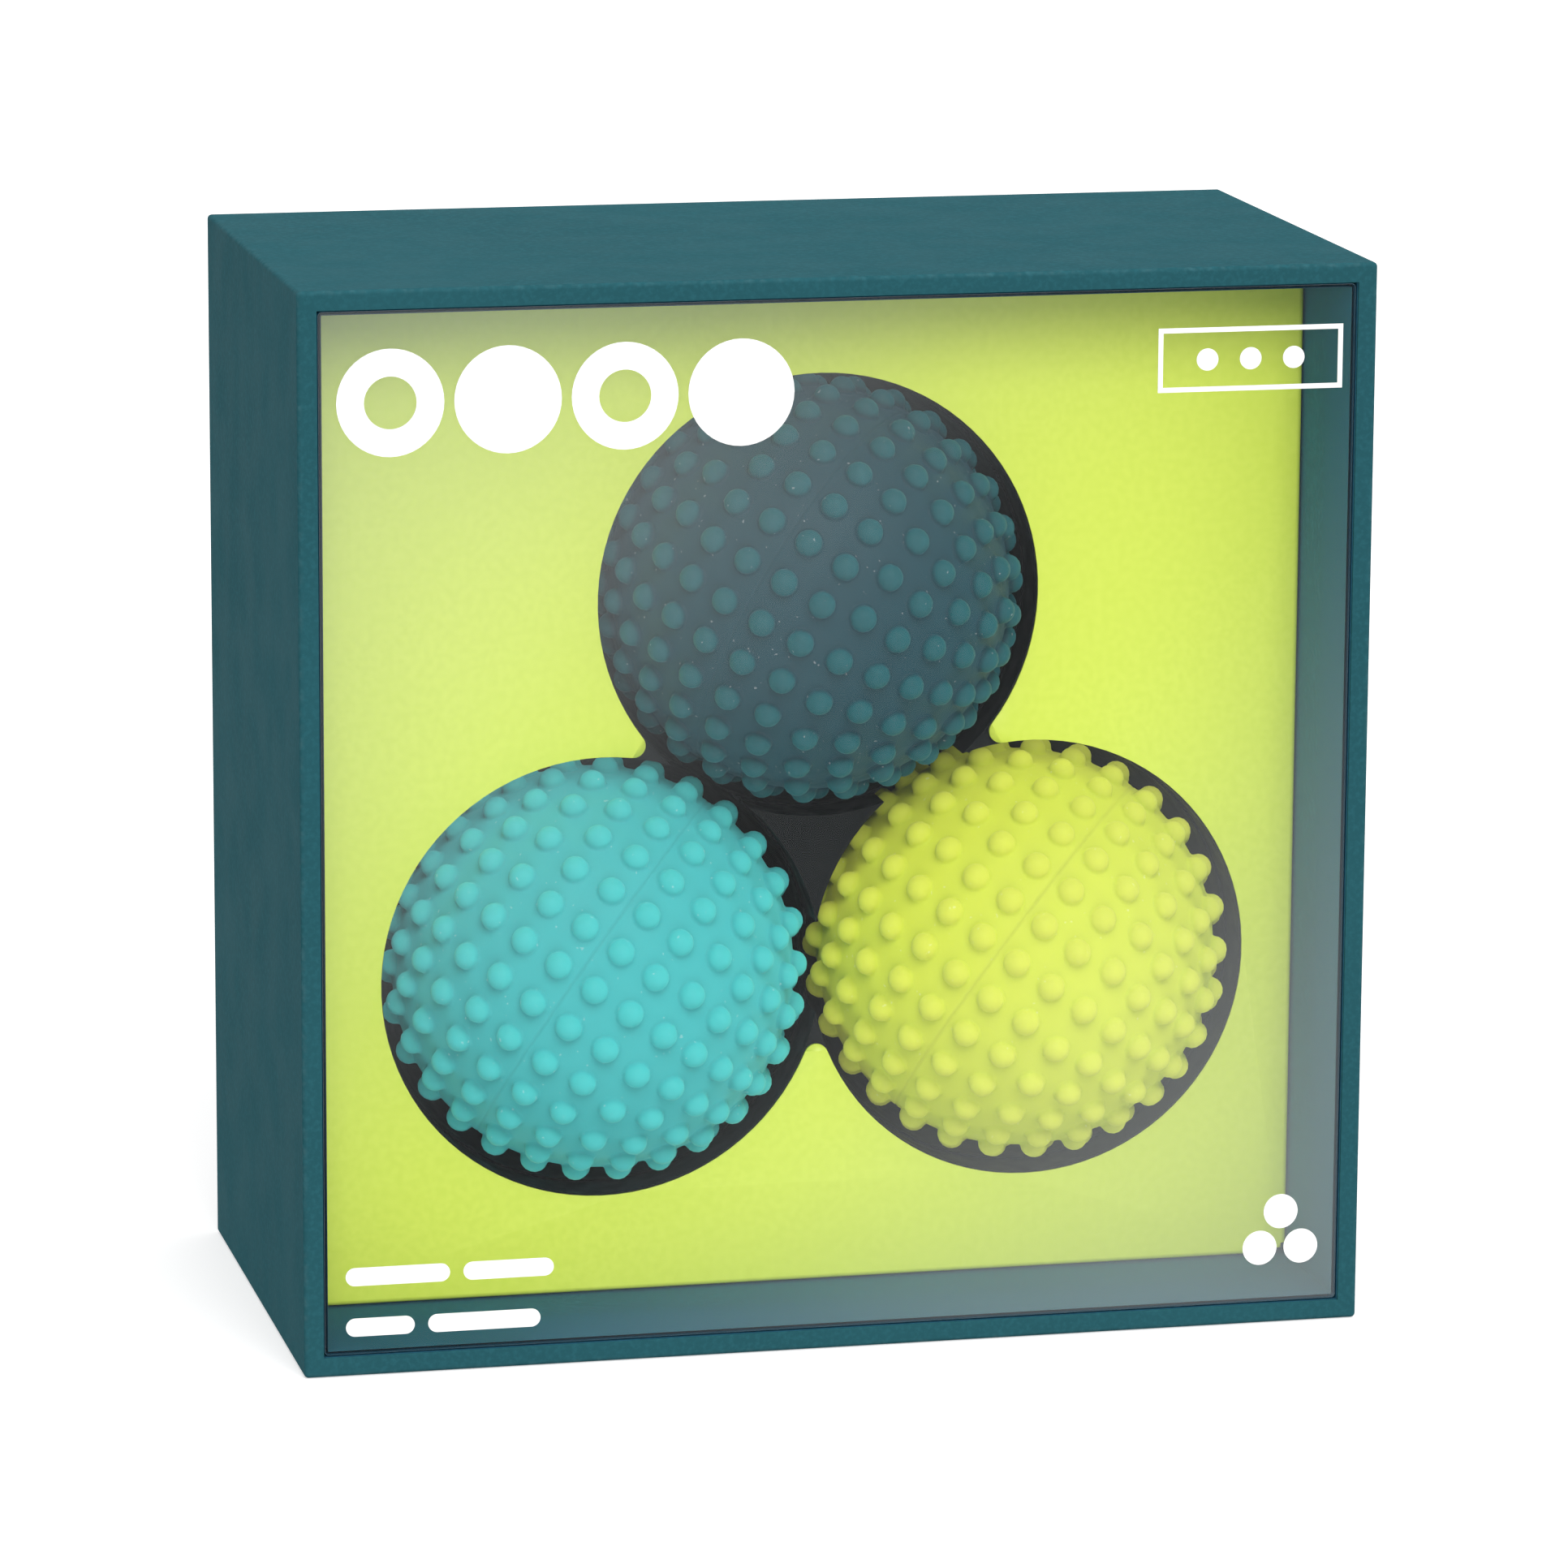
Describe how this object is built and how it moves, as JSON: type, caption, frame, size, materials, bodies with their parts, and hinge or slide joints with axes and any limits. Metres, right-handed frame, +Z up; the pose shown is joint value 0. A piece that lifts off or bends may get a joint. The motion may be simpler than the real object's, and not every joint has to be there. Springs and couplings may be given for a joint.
{
  "type": "boxed magnetic ball set",
  "caption": "Square windowed gift pack holding bumpy silicone-covered magnetic fidget balls in a triangle; the inner tray slides out of the back.",
  "frame": {"origin": "centre of the pack's bottom face, on the surface it stands on", "axes": "+Z up, window towards -Y, +X to the right as seen from the front; the tray slides out towards +Y"},
  "size_m": [0.088, 0.046, 0.088],
  "materials": {
    "grey_board": "uncoated grey board",
    "teal_paper": "matt-laminated printed paper",
    "slate_paper": "matt printed paper",
    "clear_sheet": "clear gloss PET sheet",
    "clear_tape": "clear double-sided tape",
    "white_ink": "opaque white screen-printed ink",
    "tray_plastic": "matt thermoformed sheet",
    "insert_card": "printed card, satin",
    "magnet": "ground ferrite",
    "teal_silicone": "soft matt silicone",
    "turquoise_silicone": "soft matt silicone",
    "lime_silicone": "soft matt silicone"
  },
  "bodies": {
    "sleeve": {"sleeve_board": "grey_board", "sleeve_wrap": "teal_paper", "sleeve_lining": "slate_paper", "window_pane": "clear_sheet", "window_tape": "clear_tape", "window_print": "white_ink"},
    "inner_tray": {"base_board": "grey_board", "base_wrap": "teal_paper", "ball_tray": "tray_plastic", "tray_tape": "clear_tape", "insert_card": "insert_card", "card_tape": "clear_tape"},
    "teal_ball": {"teal_magnet": "magnet", "teal_skin_left": "teal_silicone", "teal_skin_right": "teal_silicone"},
    "turquoise_ball": {"turquoise_magnet": "magnet", "turquoise_skin_left": "turquoise_silicone", "turquoise_skin_right": "turquoise_silicone"},
    "lime_ball": {"lime_magnet": "magnet", "lime_skin_left": "lime_silicone", "lime_skin_right": "lime_silicone"}
  },
  "joints": [
    {"name": "tray_slide", "type": "slide", "parent": "sleeve", "child": "inner_tray", "axis": [0, 1, 0], "range_m": [0, 0.09]},
    {"name": "teal_lift", "type": "slide", "parent": "inner_tray", "child": "teal_ball", "axis": [0, -1, 0], "range_m": [0, 0.0315]},
    {"name": "turquoise_lift", "type": "slide", "parent": "inner_tray", "child": "turquoise_ball", "axis": [0, -1, 0], "range_m": [0, 0.0315]},
    {"name": "lime_lift", "type": "slide", "parent": "inner_tray", "child": "lime_ball", "axis": [0, -1, 0], "range_m": [0, 0.0315]}
  ],
  "couplings": [
    {"joint": "teal_lift", "follows": "tray_slide", "ratio": 0.35},
    {"joint": "turquoise_lift", "follows": "tray_slide", "ratio": 0.35},
    {"joint": "lime_lift", "follows": "tray_slide", "ratio": 0.35}
  ]
}
